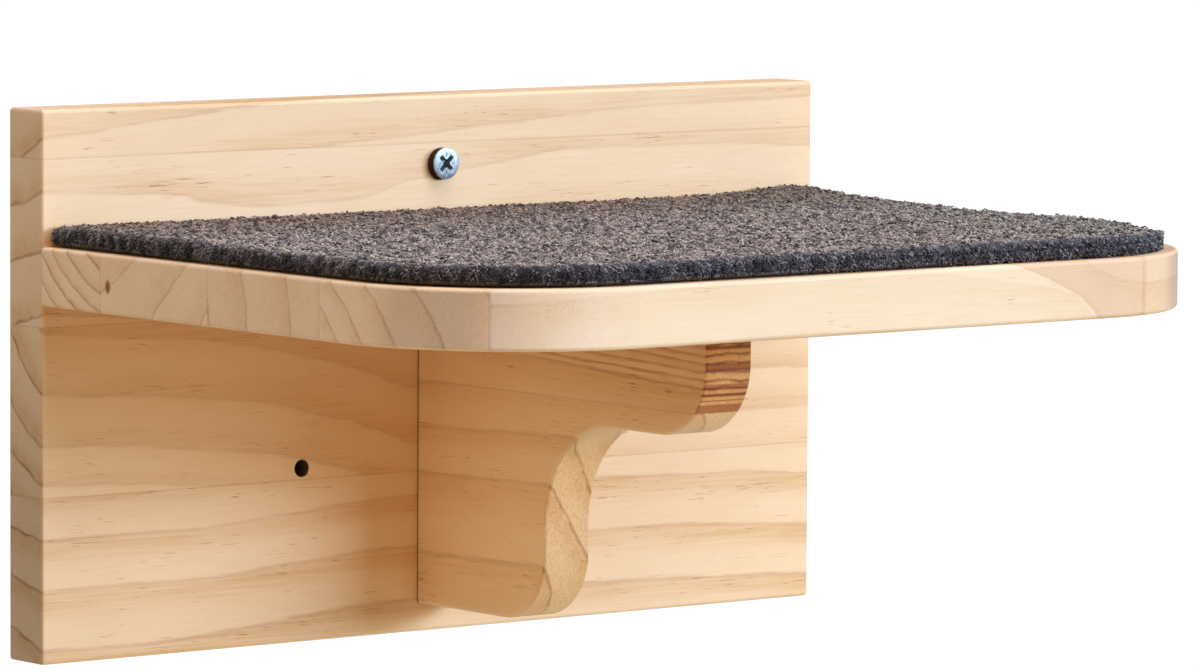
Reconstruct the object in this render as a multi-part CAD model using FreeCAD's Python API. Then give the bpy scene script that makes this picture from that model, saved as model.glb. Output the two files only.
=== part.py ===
import FreeCAD, Part
import math
import os
from FreeCAD import Placement, Rotation, Vector

# A cat's wall step in solid pine: a back board that is screwed to the wall, a
# step board with a felt carpet on it, and a curved bracket under the step.
# Millimetres, +Z up. The wall is the plane Y = 0, the step reaches out towards
# -Y, and the origin is the centre of the back board's rear face.

# Back board. Its height follows from what stands against it.
board_width = 254.0
board_thickness = 15.0
foot_margin = 7.5

# Step board, set down from the back board's top edge
step_drop = 35.0
step_depth = 180.0
step_thickness = 15.0
step_corner_radius = 51.0

# Bracket outline, in order from the foot at the back board up to the step:
# a flat foot, a round lobe, a straight neck, a hollow cove, the flat under the
# nose, the nose's round corner and its upright face
bracket_thickness = 15.0
foot_flat = 37.2
lobe_radius = 17.8
neck_height = 8.0
cove_radius = 27.5
nose_flat = 19.5
nose_radius = 19.0
nose_face = 12.2

# Easing of every free wooden edge
edge_ease = 1.0
same_place_share = 0.001

# Carpet: felt pile on a thin backing, held down by strips of tape
carpet_inset = 3.5
carpet_rear_gap = 0.5
carpet_rounding = 1.4
pile_thickness = 3.6
backing_thickness = 0.8
tape_thickness = 0.6
tape_width = 28.0
tape_inset = 7.0
tape_depth_shares = (0.14, 0.5, 0.86)

# Countersunk wood screws, all of one diameter
screw_head_radius = 4.2
screw_head_rim = 0.35
screw_core_radius = 1.45
screw_thread_radius = 2.0
screw_tip_length = 4.0
screw_tip_radius = 0.2
rear_screw_length = 40.0
top_screw_length = 35.0
wall_screw_length = 40.0

# Cross recess in a screw's head: the four wings narrow towards their floor
recess_span = 4.7
recess_wing_width = 0.95
recess_depth = 2.0
recess_floor_share = 0.45
recess_turn_degrees = (45.0, 135.0)

# Dowels
dowel_radius = 3.0
dowel_length = 30.0
dowel_depth_in_board = 9.0
dowel_chamfer = 0.8

# Clearances and seats
through_clearance = 0.25
pilot_clearance = 0.05
head_clearance = 0.1
head_sink = 0.2
thread_start = 0.5
end_gap = 0.5
dowel_clearance = 0.05
cone_seat_gap = 0.05
cut_overrun = 5.0

# Fixings to the wall: one hole near the top, two lower ones
top_hole_drop = 18.0
low_hole_rise = 45.7
low_hole_spacing = 90.5

# Places of the inner fixings, as shares of what they go into: of half the
# board's width, of the bracket's height from the top, and of its reach
step_screw_width_shares = (-0.75, 0.0, 0.75)
step_dowel_width_shares = (-0.45, 0.45)
bracket_screw_height_shares = (0.15, 0.8)
bracket_dowel_height_share = 0.5
top_screw_reach_shares = (0.3, 0.75)

# Derived sizes
bracket_reach = foot_flat + lobe_radius + cove_radius + nose_flat + nose_radius
bracket_height = nose_face + nose_radius + cove_radius + neck_height + lobe_radius
board_height = step_drop + step_thickness + bracket_height + foot_margin
through_radius = screw_thread_radius + through_clearance
pilot_radius = screw_thread_radius + pilot_clearance
socket_radius = dowel_radius + dowel_clearance

# Derived levels
board_top_z = board_height / 2
board_bottom_z = -board_height / 2
board_front_y = -board_thickness
step_top_z = board_top_z - step_drop
step_under_z = step_top_z - step_thickness
step_middle_z = step_top_z - step_thickness / 2
backing_z = step_top_z + tape_thickness
pile_z = backing_z + backing_thickness

UP = Vector(0, 0, 1)
DOWN = Vector(0, 0, -1)
TO_WALL = Vector(0, 1, 0)
FROM_WALL = Vector(0, -1, 0)


def set_along(shape, point, direction):
    """A shape made along +Z from the origin, moved to a point and turned to a direction."""
    moved = shape.copy()
    moved.Placement = Placement(point, Rotation(UP, direction))
    return moved


def turned_solid(profile):
    """The solid of revolution of (radius, height) points about the Z axis."""
    points = [Vector(radius, 0, height) for radius, height in profile]
    face = Part.Face(Part.makePolygon(points + points[:1]))
    return face.revolve(Vector(0, 0, 0), UP, 360)


def drill(radius, depth, point, direction):
    """A round cutter that starts one overrun outside the surface."""
    start = point - direction * cut_overrun
    return Part.makeCylinder(radius, depth + cut_overrun, start, direction)


def edges_where(shape, wanted):
    """The edges whose ends and middle all satisfy a test on points."""
    chosen = []
    for edge in shape.Edges:
        middle = edge.valueAt((edge.FirstParameter + edge.LastParameter) / 2)
        ends = [vertex.Point for vertex in edge.Vertexes]
        if all(wanted(point) for point in ends + [middle]):
            chosen.append(edge)
    return chosen


def same(first, second):
    """Whether two coordinates agree, to a small share of the edges' easing."""
    return math.isclose(first, second, abs_tol=edge_ease * same_place_share)


# Screws

def recess_cutter():
    """The cross recess, cut into a head whose flat face is at Z = 0."""
    wings = []
    for turn in recess_turn_degrees:
        rings = []
        for height, share in ((-cut_overrun, 1.0), (0, 1.0), (recess_depth, recess_floor_share)):
            half_span = recess_span / 2 * share
            half_width = recess_wing_width / 2 * share
            corners = [Vector(-half_span, -half_width, height), Vector(half_span, -half_width, height),
                       Vector(half_span, half_width, height), Vector(-half_span, half_width, height)]
            rings.append(Part.makePolygon(corners + corners[:1]))
        wing = Part.makeLoft(rings, True, True)
        wing.rotate(Vector(0, 0, 0), UP, turn)
        wings.append(wing)
    return wings[0].fuse(wings[1:])


def countersunk_screw(length, plain_length):
    """A screw along +Z with its flat head at Z = 0; the thread is its outer cylinder."""
    cone_end = screw_head_rim + screw_head_radius - screw_core_radius
    thread_full = plain_length + screw_thread_radius - screw_core_radius
    body = turned_solid([
        (0, 0),
        (screw_head_radius, 0),
        (screw_head_radius, screw_head_rim),
        (screw_core_radius, cone_end),
        (screw_core_radius, plain_length),
        (screw_thread_radius, thread_full),
        (screw_thread_radius, length - screw_tip_length),
        (screw_tip_radius, length),
        (0, length),
    ])
    return body.cut(recess_cutter())


def countersunk_hole(thickness):
    """The cutter for a sunk head and its through hole, entering at Z = 0."""
    mouth_radius = screw_head_radius + head_clearance
    cone_start = head_sink + screw_head_rim
    cone_end = cone_start + mouth_radius - through_radius
    return turned_solid([
        (0, -cut_overrun),
        (mouth_radius, -cut_overrun),
        (mouth_radius, cone_start),
        (through_radius, cone_end),
        (through_radius, thickness + cut_overrun),
        (0, thickness + cut_overrun),
    ])


def rear_screw_points(places):
    """Where rear screws enter: the rear face, at (x, z) places."""
    return [Vector(x, 0, z) for x, z in places]


def rear_screws(places):
    screw = countersunk_screw(rear_screw_length, board_thickness - head_sink + thread_start)
    sunk = FROM_WALL * head_sink
    return [set_along(screw, point + sunk, FROM_WALL) for point in rear_screw_points(places)]


def rear_pilots(places):
    """Cutters for the rear screws in what stands against the board's front face."""
    depth = rear_screw_length - board_thickness + head_sink + end_gap
    return [drill(pilot_radius, depth, Vector(x, board_front_y, z), FROM_WALL) for x, z in places]


# Dowels

def dowels(places):
    pin = Part.makeCylinder(dowel_radius, dowel_length)
    pin = pin.makeChamfer(dowel_chamfer, [edge for edge in pin.Edges if len(edge.Vertexes) == 1])
    start_y = board_front_y + dowel_depth_in_board
    return [set_along(pin, Vector(x, start_y, z), FROM_WALL) for x, z in places]


def dowel_sockets(places, direction, depth):
    """Cutters for dowels, drilled from the joint plane in a direction."""
    return [drill(socket_radius, depth + end_gap, Vector(x, board_front_y, z), direction)
            for x, z in places]


half_width = board_width / 2
step_screw_places = [(share * half_width, step_middle_z) for share in step_screw_width_shares]
step_dowel_places = [(share * half_width, step_middle_z) for share in step_dowel_width_shares]
bracket_screw_places = [(0, step_under_z - share * bracket_height)
                        for share in bracket_screw_height_shares]
bracket_dowel_places = [(0, step_under_z - bracket_dowel_height_share * bracket_height)]
top_screw_points = [Vector(0, board_front_y - share * bracket_reach, step_top_z)
                    for share in top_screw_reach_shares]
wall_hole_points = [
    Vector(0, board_front_y, board_top_z - top_hole_drop),
    Vector(-low_hole_spacing / 2, board_front_y, board_bottom_z + low_hole_rise),
    Vector(low_hole_spacing / 2, board_front_y, board_bottom_z + low_hole_rise),
]


# Back board

def back_board():
    corner = Vector(-half_width, board_front_y, board_bottom_z)
    board = Part.makeBox(board_width, board_thickness, board_height, corner)
    board = board.makeFillet(edge_ease, board.Edges)
    cutters = [drill(through_radius, board_thickness + cut_overrun, point, TO_WALL)
               for point in wall_hole_points]
    sunk_hole = countersunk_hole(board_thickness)
    for point in rear_screw_points(step_screw_places + bracket_screw_places):
        cutters.append(set_along(sunk_hole, point, FROM_WALL))
    cutters += dowel_sockets(step_dowel_places + bracket_dowel_places, TO_WALL, dowel_depth_in_board)
    return board.cut(cutters)


# Step board and what lies on it

def step_outline(inset, rear_gap, level):
    """The step's plan with its two large front corners, drawn in by an inset."""
    left = -half_width + inset
    right = half_width - inset
    rear = board_front_y - rear_gap
    front = board_front_y - step_depth + inset
    radius = step_corner_radius - inset
    bend = radius * (1 - math.cos(math.pi / 4))
    corners = [
        Vector(left, rear, level),
        Vector(left, front + radius, level),
        Vector(left + bend, front + bend, level),
        Vector(left + radius, front, level),
        Vector(right - radius, front, level),
        Vector(right - bend, front + bend, level),
        Vector(right, front + radius, level),
        Vector(right, rear, level),
    ]
    edges = [
        Part.makeLine(corners[0], corners[1]),
        Part.Arc(corners[1], corners[2], corners[3]).toShape(),
        Part.makeLine(corners[3], corners[4]),
        Part.Arc(corners[4], corners[5], corners[6]).toShape(),
        Part.makeLine(corners[6], corners[7]),
        Part.makeLine(corners[7], corners[0]),
    ]
    return Part.Face(Part.Wire(edges))


def step_board():
    board = step_outline(0, 0, step_under_z).extrude(UP * step_thickness)
    upper = edges_where(board, lambda point: same(point.z, step_top_z))
    lower = edges_where(board, lambda point: same(point.z, step_under_z))
    rims = [edge for edge in upper + lower
            if not all(same(vertex.Point.y, board_front_y) for vertex in edge.Vertexes)]
    board = board.makeFillet(edge_ease, rims)
    depth_in_step = dowel_length - dowel_depth_in_board
    cutters = rear_pilots(step_screw_places)
    cutters += dowel_sockets(step_dowel_places, FROM_WALL, depth_in_step)
    sunk_hole = countersunk_hole(step_thickness)
    cutters += [set_along(sunk_hole, point, DOWN) for point in top_screw_points]
    return board.cut(cutters)


def carpet_pad():
    pile = step_outline(carpet_inset, carpet_rear_gap, pile_z).extrude(UP * pile_thickness)
    top = pile_z + pile_thickness
    rim = edges_where(pile, lambda point: same(point.z, top))
    return pile.makeFillet(carpet_rounding, rim)


def carpet_backing():
    return step_outline(carpet_inset, carpet_rear_gap, backing_z).extrude(UP * backing_thickness)


def carpet_tape():
    """Strips across the step, trimmed to the carpet's outline less a margin."""
    inset = carpet_inset + tape_inset
    area = step_outline(inset, tape_inset, step_top_z).extrude(UP * tape_thickness)
    strips = []
    for share in tape_depth_shares:
        middle_y = board_front_y - share * step_depth
        corner = Vector(-half_width, middle_y - tape_width / 2, step_top_z)
        strip = Part.makeBox(board_width, tape_width, tape_thickness, corner)
        strips += strip.common(area).Solids
    return strips


# Bracket

def bracket_face():
    """The bracket's outline of lines and tangent arcs, on its left side."""
    x = -bracket_thickness / 2
    foot_z = step_under_z - bracket_height

    def at(reach, height):
        return Vector(x, board_front_y - reach, foot_z + height)

    def quarter(centre_reach, centre_height, radius, start_degrees, end_degrees):
        middle_degrees = (start_degrees + end_degrees) / 2
        points = []
        for degrees in (start_degrees, middle_degrees, end_degrees):
            turn = math.radians(degrees)
            points.append(at(centre_reach + radius * math.cos(turn),
                             centre_height + radius * math.sin(turn)))
        return Part.Arc(*points).toShape()

    lobe_reach = foot_flat + lobe_radius
    neck_top = lobe_radius + neck_height
    cove_reach = lobe_reach + cove_radius
    nose_under = neck_top + cove_radius
    nose_centre = cove_reach + nose_flat
    edges = [
        Part.makeLine(at(0, 0), at(foot_flat, 0)),
        quarter(foot_flat, lobe_radius, lobe_radius, -90, 0),
        Part.makeLine(at(lobe_reach, lobe_radius), at(lobe_reach, neck_top)),
        quarter(cove_reach, neck_top, cove_radius, 180, 90),
        Part.makeLine(at(cove_reach, nose_under), at(nose_centre, nose_under)),
        quarter(nose_centre, nose_under + nose_radius, nose_radius, -90, 0),
        Part.makeLine(at(bracket_reach, nose_under + nose_radius), at(bracket_reach, bracket_height)),
        Part.makeLine(at(bracket_reach, bracket_height), at(0, bracket_height)),
        Part.makeLine(at(0, bracket_height), at(0, 0)),
    ]
    return Part.Face(Part.Wire(edges))


def support_bracket():
    block = bracket_face().extrude(Vector(bracket_thickness, 0, 0))

    def on_side(point):
        return same(abs(point.x), bracket_thickness / 2)

    rims = []
    for edge in edges_where(block, on_side):
        points = [vertex.Point for vertex in edge.Vertexes]
        on_board = all(same(point.y, board_front_y) for point in points)
        under_step = all(same(point.z, step_under_z) for point in points)
        if not (on_board or under_step):
            rims.append(edge)
    block = block.makeFillet(edge_ease, rims)
    cutters = rear_pilots(bracket_screw_places)
    cutters += dowel_sockets(bracket_dowel_places, FROM_WALL, dowel_length - dowel_depth_in_board)
    top_depth = top_screw_length - step_thickness + head_sink + end_gap
    for point in top_screw_points:
        cutters.append(drill(pilot_radius, top_depth, point + DOWN * step_thickness, DOWN))
    return block.cut(cutters)


# Screws in their places

def wall_screw():
    """The screw in the top hole: its cone seats on the hole's edge, so the head stands proud."""
    proud = screw_head_rim + screw_head_radius - through_radius + cone_seat_gap
    screw = countersunk_screw(wall_screw_length, proud + board_thickness + thread_start)
    return set_along(screw, wall_hole_points[0] + FROM_WALL * proud, TO_WALL)


def bracket_top_screws():
    screw = countersunk_screw(top_screw_length, step_thickness - head_sink + thread_start)
    return [set_along(screw, point + DOWN * head_sink, DOWN) for point in top_screw_points]


def export(node, solids):
    shape = solids if isinstance(solids, Part.Shape) else Part.makeCompound(solids)
    shape.exportStep(os.path.join("parts", node + ".step"))
    print(node, len(shape.Solids), "solids", round(shape.Volume, 1), "valid", shape.isValid())


os.makedirs("parts", exist_ok=True)
export("back_board", back_board())
export("step_board", step_board())
export("support_bracket", support_bracket())
export("carpet_pad", carpet_pad())
export("carpet_backing", carpet_backing())
export("carpet_tape", carpet_tape())
export("wall_screw", wall_screw())
export("step_screws", rear_screws(step_screw_places))
export("bracket_rear_screws", rear_screws(bracket_screw_places))
export("bracket_top_screws", bracket_top_screws())
export("step_dowels", dowels(step_dowel_places))
export("bracket_dowel", dowels(bracket_dowel_places))
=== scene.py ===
import random
from collections import namedtuple
from math import cos, exp, hypot, pi, radians, sin, sqrt

import bmesh
import bpy
import numpy as np
from mathutils import Matrix, Quaternion, Vector, noise


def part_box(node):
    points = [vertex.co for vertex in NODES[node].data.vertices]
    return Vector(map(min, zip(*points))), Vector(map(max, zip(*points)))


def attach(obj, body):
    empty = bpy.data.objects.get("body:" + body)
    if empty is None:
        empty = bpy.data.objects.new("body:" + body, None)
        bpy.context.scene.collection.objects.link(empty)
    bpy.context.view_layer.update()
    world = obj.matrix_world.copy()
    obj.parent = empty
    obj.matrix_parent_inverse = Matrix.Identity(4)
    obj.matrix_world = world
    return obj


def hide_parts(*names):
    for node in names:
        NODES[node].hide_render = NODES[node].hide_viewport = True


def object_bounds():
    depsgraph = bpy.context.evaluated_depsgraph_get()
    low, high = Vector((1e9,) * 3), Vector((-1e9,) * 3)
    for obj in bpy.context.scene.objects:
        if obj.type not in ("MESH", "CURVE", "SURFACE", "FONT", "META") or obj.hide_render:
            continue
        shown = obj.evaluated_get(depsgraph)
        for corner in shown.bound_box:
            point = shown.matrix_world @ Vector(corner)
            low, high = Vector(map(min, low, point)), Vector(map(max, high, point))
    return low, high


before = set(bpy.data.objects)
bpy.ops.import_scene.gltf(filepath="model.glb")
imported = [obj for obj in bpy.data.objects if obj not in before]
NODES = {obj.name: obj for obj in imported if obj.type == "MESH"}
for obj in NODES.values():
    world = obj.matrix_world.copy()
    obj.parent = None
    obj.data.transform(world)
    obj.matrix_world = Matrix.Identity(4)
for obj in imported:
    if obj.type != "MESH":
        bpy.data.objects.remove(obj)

# A cat's wall step in pale pine with a felt carpet on it. Metres, +Z up, the wall is the plane Y = 0.
CAD_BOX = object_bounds()
MM = 0.001

random.seed(7)
chance = np.random.default_rng(7)

# Lamps and the camera stand round the view's target. All angles are in degrees, and azimuth runs from
# straight in front to the right.

# The camera, as fitted to the photograph's 1200 x 669 frame
PHOTO_WIDTH = 1200
FOCAL_PIXELS = 7690.5
SENSOR_WIDTH_MM = 36.0
VIEW_AZIMUTH = -38.204
VIEW_ELEVATION = 5.055
VIEW_ROLL = 0.348
VIEW_DISTANCE = 2.0099
VIEW_TARGET = Vector((0.018257, -0.06, 0.009914))

# Studio
FLOOR_DROP = 0.42
FLOOR_RADIUS = 2.3
FLOOR_FADE = 0.35
FLOOR_TONE = (0.68, 0.59, 0.43)
BACKGROUND_TONE = 1.0
BACKGROUND_STRENGTH = 1.05
AMBIENT_TONE = (1.0, 0.55, 0.25)
AMBIENT_STRENGTH = 0.03

# Softboxes: name, azimuth, elevation, distance, width, height, watts, tone
SOFTBOXES = (
    ("low_key_softbox", 36, 5, 4.0, 3.0, 0.5, 42, (0.765, 1.0, 1.04)),
    ("key_softbox", 36, 12, 4.0, 3.0, 0.5, 116, (0.745, 1.0, 1.47)),
    ("high_softbox", 36, 40, 4.0, 2.0, 2.0, 52, (0.79, 1.0, 1.38)),
    ("top_softbox", 5, 78, 2.5, 1.4, 1.4, 48.5, (0.93, 1.0, 1.26)),
    ("left_softbox", -98, 46, 1.4, 0.7, 0.7, 4.5, (0.94, 1.0, 1.25)),
    ("low_left_softbox", -98, 15, 1.4, 0.7, 0.7, 4.9, (0.87, 1.0, 1.0)),
    ("warm_softbox", -62, 4, 2.0, 1.0, 1.0, 2.4, (1.0, 0.56, 0.02)),
    ("front_softbox", -25, 8, 2.0, 1.0, 0.8, 2.7, (1.0, 0.53, 0.02)),
)

# The back board's fixing holes, in millimetres from the board's middle
LOWER_HOLE_X = 45.25
LOWER_HOLE_Z = -25.3
TOP_HOLE_Z = 53
BORE_RADIUS = 2.3

# Carpet, in millimetres: its outline, its surface's cells, its tufts and its ragged rim
CARPET_CORNER = 47.5
PILE_CELL = 0.8
BACKING_CELL = 4.0
PILE_ROUNDING = 0.7
CUT_BORDER = 1.2
PILE_RIM_ROWS = 4
CORNER_CUTS = 12
TUFT_WAVE = 1.3
TUFT_HEIGHT = 0.55
CLUMP_WAVE = 3.2
CLUMP_HEIGHT = 0.22
ON_RIM = 0.05
RIM_WAVE = 1.3
RIM_WAVE_UP = 1.1
RIM_BULGE = 0.2
RIM_RAGGEDNESS = 0.42
EDGE_DROOP = 0.95
RIGHT_PULL = 1.4
RIGHT_PULL_START = 30

# Loose fibres: how many, how long, how thick, how bent, and how their shades go in tufts
Fibres = namedtuple("Fibres", "count lengths thickness bend tip shade_wave shade_strength")
TOP_FIBRES = Fibres(14000, (0.9, 1.9), 0.45, (1.0, 0.0), 0.38, 1.5, 1.15)
EDGE_FIBRES = Fibres(11000, (0.5, 1.3), 0.5, (0.8, 0.9), 0.34, 1.7, 1.3)
TOP_FIBRE_SINK = 0.27
EDGE_SHADE_HEIGHTS = (0.4, 1.5)
RIM_PALENESS = 0.5
REAR_LIMIT_GAP = 0.08

# Where the pile rises and sinks: centre x, centre y, spread, rise
PILE_SWELLS = (
    (117, -20, 16, 1.5),
    (124, -95, 30, -0.9),
    (121, -165, 17, -1.4),
    (-60, -185, 60, 0.45),
    (40, -190, 50, 0.45),
    (-118, -60, 40, 0.45),
)

# Tape strips, in millimetres
TAPE_WIDTH = 28
TORN_END = 0.5

# Wall screw, in millimetres
SCREW_SIDES = 48
HEAD_RIM = 0.35
SHANK_RADIUS = 1.45
CREST_RADIUS = 2.0
PLAIN_SHANK = 16.0
TIP_LENGTH = 4.0
THREAD_PITCH = 1.9
THREAD_STEPS = 20
SHARP_ANGLE = 32

# Slots in the screw's head: name, length, width, depth, the floor's share of the mouth, shift from the
# head's middle, and the turns at which they are cut
HEAD_SLOTS = (
    ("wing", 5.3, 1.25, 2.0, 0.45, 0.0, (45, 135)),
    ("socket", 2.3, 2.3, 2.0, 0.45, 0.0, (0,)),
    ("tick", 1.0, 0.22, 0.16, 0.5, 2.35, (0, 90, 180, 270)),
)


def clamped(value):
    return min(1.0, max(0.0, value))


def rgba(tone):
    """A full colour from three channels, or a grey from one number."""
    return (*tone, 1.0) if isinstance(tone, tuple) else (tone, tone, tone, 1.0)


# Building with nodes

def sign(operation, swapped=False):
    """A method that adds a Math node to a signal."""
    def method(self, other=0.0):
        pair = (other, self) if swapped else (self, other)
        return self.finish.number(operation, *pair)
    return method


class Signal:
    """What a node gives, on which plain arithmetic adds more nodes."""

    def __init__(self, finish, socket):
        self.finish = finish
        self.socket = socket

    __add__ = sign("ADD")
    __sub__ = sign("SUBTRACT")
    __rsub__ = sign("SUBTRACT", swapped=True)
    __mul__ = sign("MULTIPLY")
    __gt__ = sign("GREATER_THAN")
    __lt__ = sign("LESS_THAN")
    __abs__ = sign("ABSOLUTE")


SHADER_SOCKETS = {
    "colour": "Base Color", "roughness": "Roughness", "metallic": "Metallic", "alpha": "Alpha",
    "specular": "Specular IOR Level", "sheen": "Sheen Weight", "sheen_roughness": "Sheen Roughness",
}


class Finish:
    """A material and short ways to add nodes to it."""

    def __init__(self, name):
        self.material = bpy.data.materials.new(name)
        self.material.use_nodes = True
        self.tree = self.material.node_tree
        self.tree.nodes.clear()
        self.shader = self.add("BsdfPrincipled")
        output = self.add("OutputMaterial")
        self.tree.links.new(self.shader.outputs["BSDF"], output.inputs["Surface"])

    def add(self, kind, inputs=None, **settings):
        node = self.tree.nodes.new("ShaderNode" + kind)
        for key, value in settings.items():
            setattr(node, key, value)
        for key, value in (inputs or {}).items():
            self.feed(node.inputs[key], value)
        return node

    def made(self, kind, output, inputs=None, **settings):
        """One output of a new node."""
        return Signal(self, self.add(kind, inputs, **settings).outputs[output])

    def feed(self, socket, value):
        if isinstance(value, Signal):
            self.tree.links.new(value.socket, socket)
        else:
            socket.default_value = rgba(value) if socket.type == "RGBA" else value

    def number(self, operation, first, second=0.0):
        return self.made("Math", 0, {0: first, 1: second}, operation=operation)

    def vector(self, operation, first, second=(0, 0, 0)):
        output = "Value" if operation in ("DISTANCE", "LENGTH") else "Vector"
        return self.made("VectorMath", output, {0: first, 1: second}, operation=operation)

    def scaled(self, vector, factors):
        return self.vector("MULTIPLY", vector, factors)

    def shrunk(self, vector, sizes):
        return self.scaled(vector, tuple(1 / size for size in sizes))

    def parts(self, vector):
        outputs = self.add("SeparateXYZ", {"Vector": vector}).outputs
        return {axis: Signal(self, outputs[axis]) for axis in "XYZ"}

    def place_mm(self):
        """Where a point is, in millimetres."""
        return self.shrunk(self.made("TexCoord", "Object"), (MM, MM, MM))

    def graded(self, value, start, end, low=0.0, high=1.0, smooth=False):
        limits = {"Value": value, "From Min": start, "From Max": end, "To Min": low, "To Max": high}
        blend = "SMOOTHSTEP" if smooth else "LINEAR"
        return self.made("MapRange", "Result", limits, interpolation_type=blend)

    def eased(self, *limits):
        return self.graded(*limits, smooth=True)

    def noise(self, vector, scale, detail=2.0, roughness=0.5):
        inputs = {"Vector": vector, "Scale": scale, "Detail": detail, "Roughness": roughness}
        return self.made("TexNoise", "Fac", inputs)

    def mixed(self, share, first, second, blend="MIX"):
        return self.made("Mix", 2, {0: share, 6: first, 7: second}, data_type="RGBA", blend_type=blend)

    def shaded(self, share, colour, tone):
        """The colour, multiplied by a tone as far as its share goes."""
        return self.mixed(share, colour, tone, "MULTIPLY")

    def ramp(self, value, stops, blend="LINEAR"):
        node = self.add("ValToRGB", {"Fac": value})
        node.color_ramp.interpolation = blend
        elements = node.color_ramp.elements
        while len(elements) < len(stops):
            elements.new(0.5)
        for element, (place, tone) in zip(elements, stops):
            element.position = place
            element.color = rgba(tone)
        return Signal(self, node.outputs["Color"])

    def curve(self, value, points):
        """A smooth curve through (value, result) points, in the value's own units."""
        places, results = zip(*points)
        start, end = places[0], places[-1]
        low, high = min(results), max(results) + 1e-6
        node = self.add("FloatCurve", {"Value": self.graded(value, start, end)})
        line = node.mapping.curves[0]
        spots = [((place - start) / (end - start), (result - low) / (high - low)) for place, result in points]
        for spot in spots[1:-1]:
            line.points.new(*spot)
        for point, spot in zip(line.points, spots):
            point.location = spot
        node.mapping.update()
        return self.graded(Signal(self, node.outputs["Value"]), 0, 1, low, high)

    def bumps(self, *layers):
        """Bump nodes in a chain, from (height, strength, distance) layers."""
        normal = None
        for height, strength, distance in layers:
            inputs = {"Height": height, "Strength": strength, "Distance": distance}
            if normal:
                inputs["Normal"] = normal
            normal = self.made("Bump", "Normal", inputs)
        self.feed(self.shader.inputs["Normal"], normal)

    def surface(self, **values):
        for key, value in values.items():
            self.feed(self.shader.inputs[SHADER_SOCKETS[key]], value)


# Pine. Each board is glued from staves. A stave's rings are round its own pith, which lies
# outside the board; their radii and the rise of the grain along the board are in millimetres.
# A stave's rings show by one share on its long faces and by another where it is cut across.

Stave = namedtuple("Stave", "start pith rings rise face_show end_show tone")

EARLYWOOD = (0.86, 0.565, 0.308)
LATEWOOD = (0.84, 0.71, 0.52)
RING_LINE = (0.42, 0.22, 0.105)
FLECK = (0.50, 0.30, 0.16)
CLOUD = (0.975, 0.93, 0.865)
FIBRE_SHADE = (0.93, 0.87, 0.80)
# Painted shade inside the fixing holes and under the wall screw's head
BORE_PAINTED_SHADE = (0.08, 0.055, 0.045)
# Painted shade where the bracket meets the back board
JOINT_PAINTED_SHADE = (0.10, 0.05, 0.022)
HEART_LINE = (0.82, 0.66, 0.54)
HEART_FADE = -135
RING_MARGIN = 14
CANAL_SOFTNESS = 1 / 14

BACK_STAVES = (
    Stave(-200, (12, -117), (44, 56, 69, 81.8, 94.5, 108),
          ((-127, 0), (-88, 0.8), (-47, 3.0), (-7, 4.8), (52, 5.2), (127, 2.6)),
          1.0, 0.8, (0.99, 0.985, 0.97)),
    Stave(-28.3, (-46, 40), (22, 31, 40, 51.7, 63, 72, 81, 92),
          ((-127, 0), (-90, 1.8), (-56, 5.2), (-30, 10.2), (-8, 16), (40, 23), (127, 26)),
          0.7, 0.8, (0.985, 0.955, 0.905)),
    Stave(15.5, (24, 150), (78, 92, 107, 121.3, 137),
          ((-127, 0), (-90, 2.2), (-52, 6.2), (-7, 0.9), (8, -0.7), (40, -4.1), (70, -4.4), (127, -3.1)),
          0.75, 0.8, 1.0),
    Stave(58.5, (30, 150), (72, 84, 98, 110, 122), ((-127, 0), (-46, -7.5), (20, -12), (127, -16)),
          0.75, 0.8, (0.99, 0.98, 0.96)),
)

STEP_STAVES = (
    Stave(-300, (-180, -40), (46, 58, 72, 84, 97),
          ((-127, -1), (-111, 0), (-83, 3.5), (-60, 4.5), (-20, 6), (5, 5.5), (22, 3.5), (45, 0),
           (61, -2.3), (72, -9.6), (90, -14), (127, -16)),
          0.42, 0.35, (0.97, 1.02, 1.08)),
    Stave(-181.3, (-108, -2), (24, 33, 41.5, 49, 58, 68, 80), ((-127, 0), (-60, 2.5), (10, -2), (127, 3)),
          0.5, 0.45, 1.02),
    Stave(-134.6, (-60, 20), (28, 44.5, 62.5, 80), ((-127, 0), (-40, 4), (60, -3), (127, 2)),
          0.5, 0.45, (0.985, 0.97, 0.95)),
    Stave(-87.9, (4, 108), (80, 94.7, 109.4, 123), ((-127, 0), (-50, -4), (40, 5), (127, 8)),
          0.5, 0.4, (1.0, 0.99, 0.97)),
    Stave(-41.2, (-59.3, 66.7), (34, 40, 45.5, 50, 54.5, 59, 64), ((-127, 0), (-70, 2), (0, -2), (127, 3)),
          0.5, 0.6, (0.995, 0.985, 0.97)),
)

BRACKET_JOINT = -3.8
BRACKET_STAVES = (
    Stave(-200, (-74, -94), (54, 67, 81, 94.3, 104, 113), ((-140, 0.3), (-72, 0), (-40, -0.5), (-15, -1.2)),
          0.55, 0.8, (1.0, 0.98, 0.95)),
    Stave(BRACKET_JOINT, (0, -300), (302.5, 304.4, 306.6, 309, 311.2, 313.8, 318, 322),
          ((-140, 0), (-85, 1.9), (-60, 3.2), (-42, 7.4), (-28, 8.8), (-15, 8.9)),
          0.75, 1.0, (1.0, 0.97, 0.93)),
)

# The bracket's upper stave on its nose, from its joint upwards: red-brown latewood and pale earlywood,
# each layer by the shares of the span where it starts and ends
NOSE_SPAN = 19.0
RED = (0.58, 0.33, 0.17)
DARK = (0.36, 0.15, 0.06)
PALE = (0.98, 0.85, 0.66)
NOSE_LAYERS = (
    (0.0, 0.10, RED), (0.12, 0.155, PALE), (0.165, 0.165, DARK), (0.18, 0.215, PALE), (0.235, 0.26, DARK),
    (0.275, 0.31, PALE), (0.33, 0.39, RED), (0.41, 0.56, PALE), (0.585, 0.585, DARK), (0.63, 0.67, RED),
    (0.685, 0.85, PALE), (0.87, 0.87, RED), (0.90, 0.90, DARK), (0.92, 1.0, PALE),
)


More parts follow.
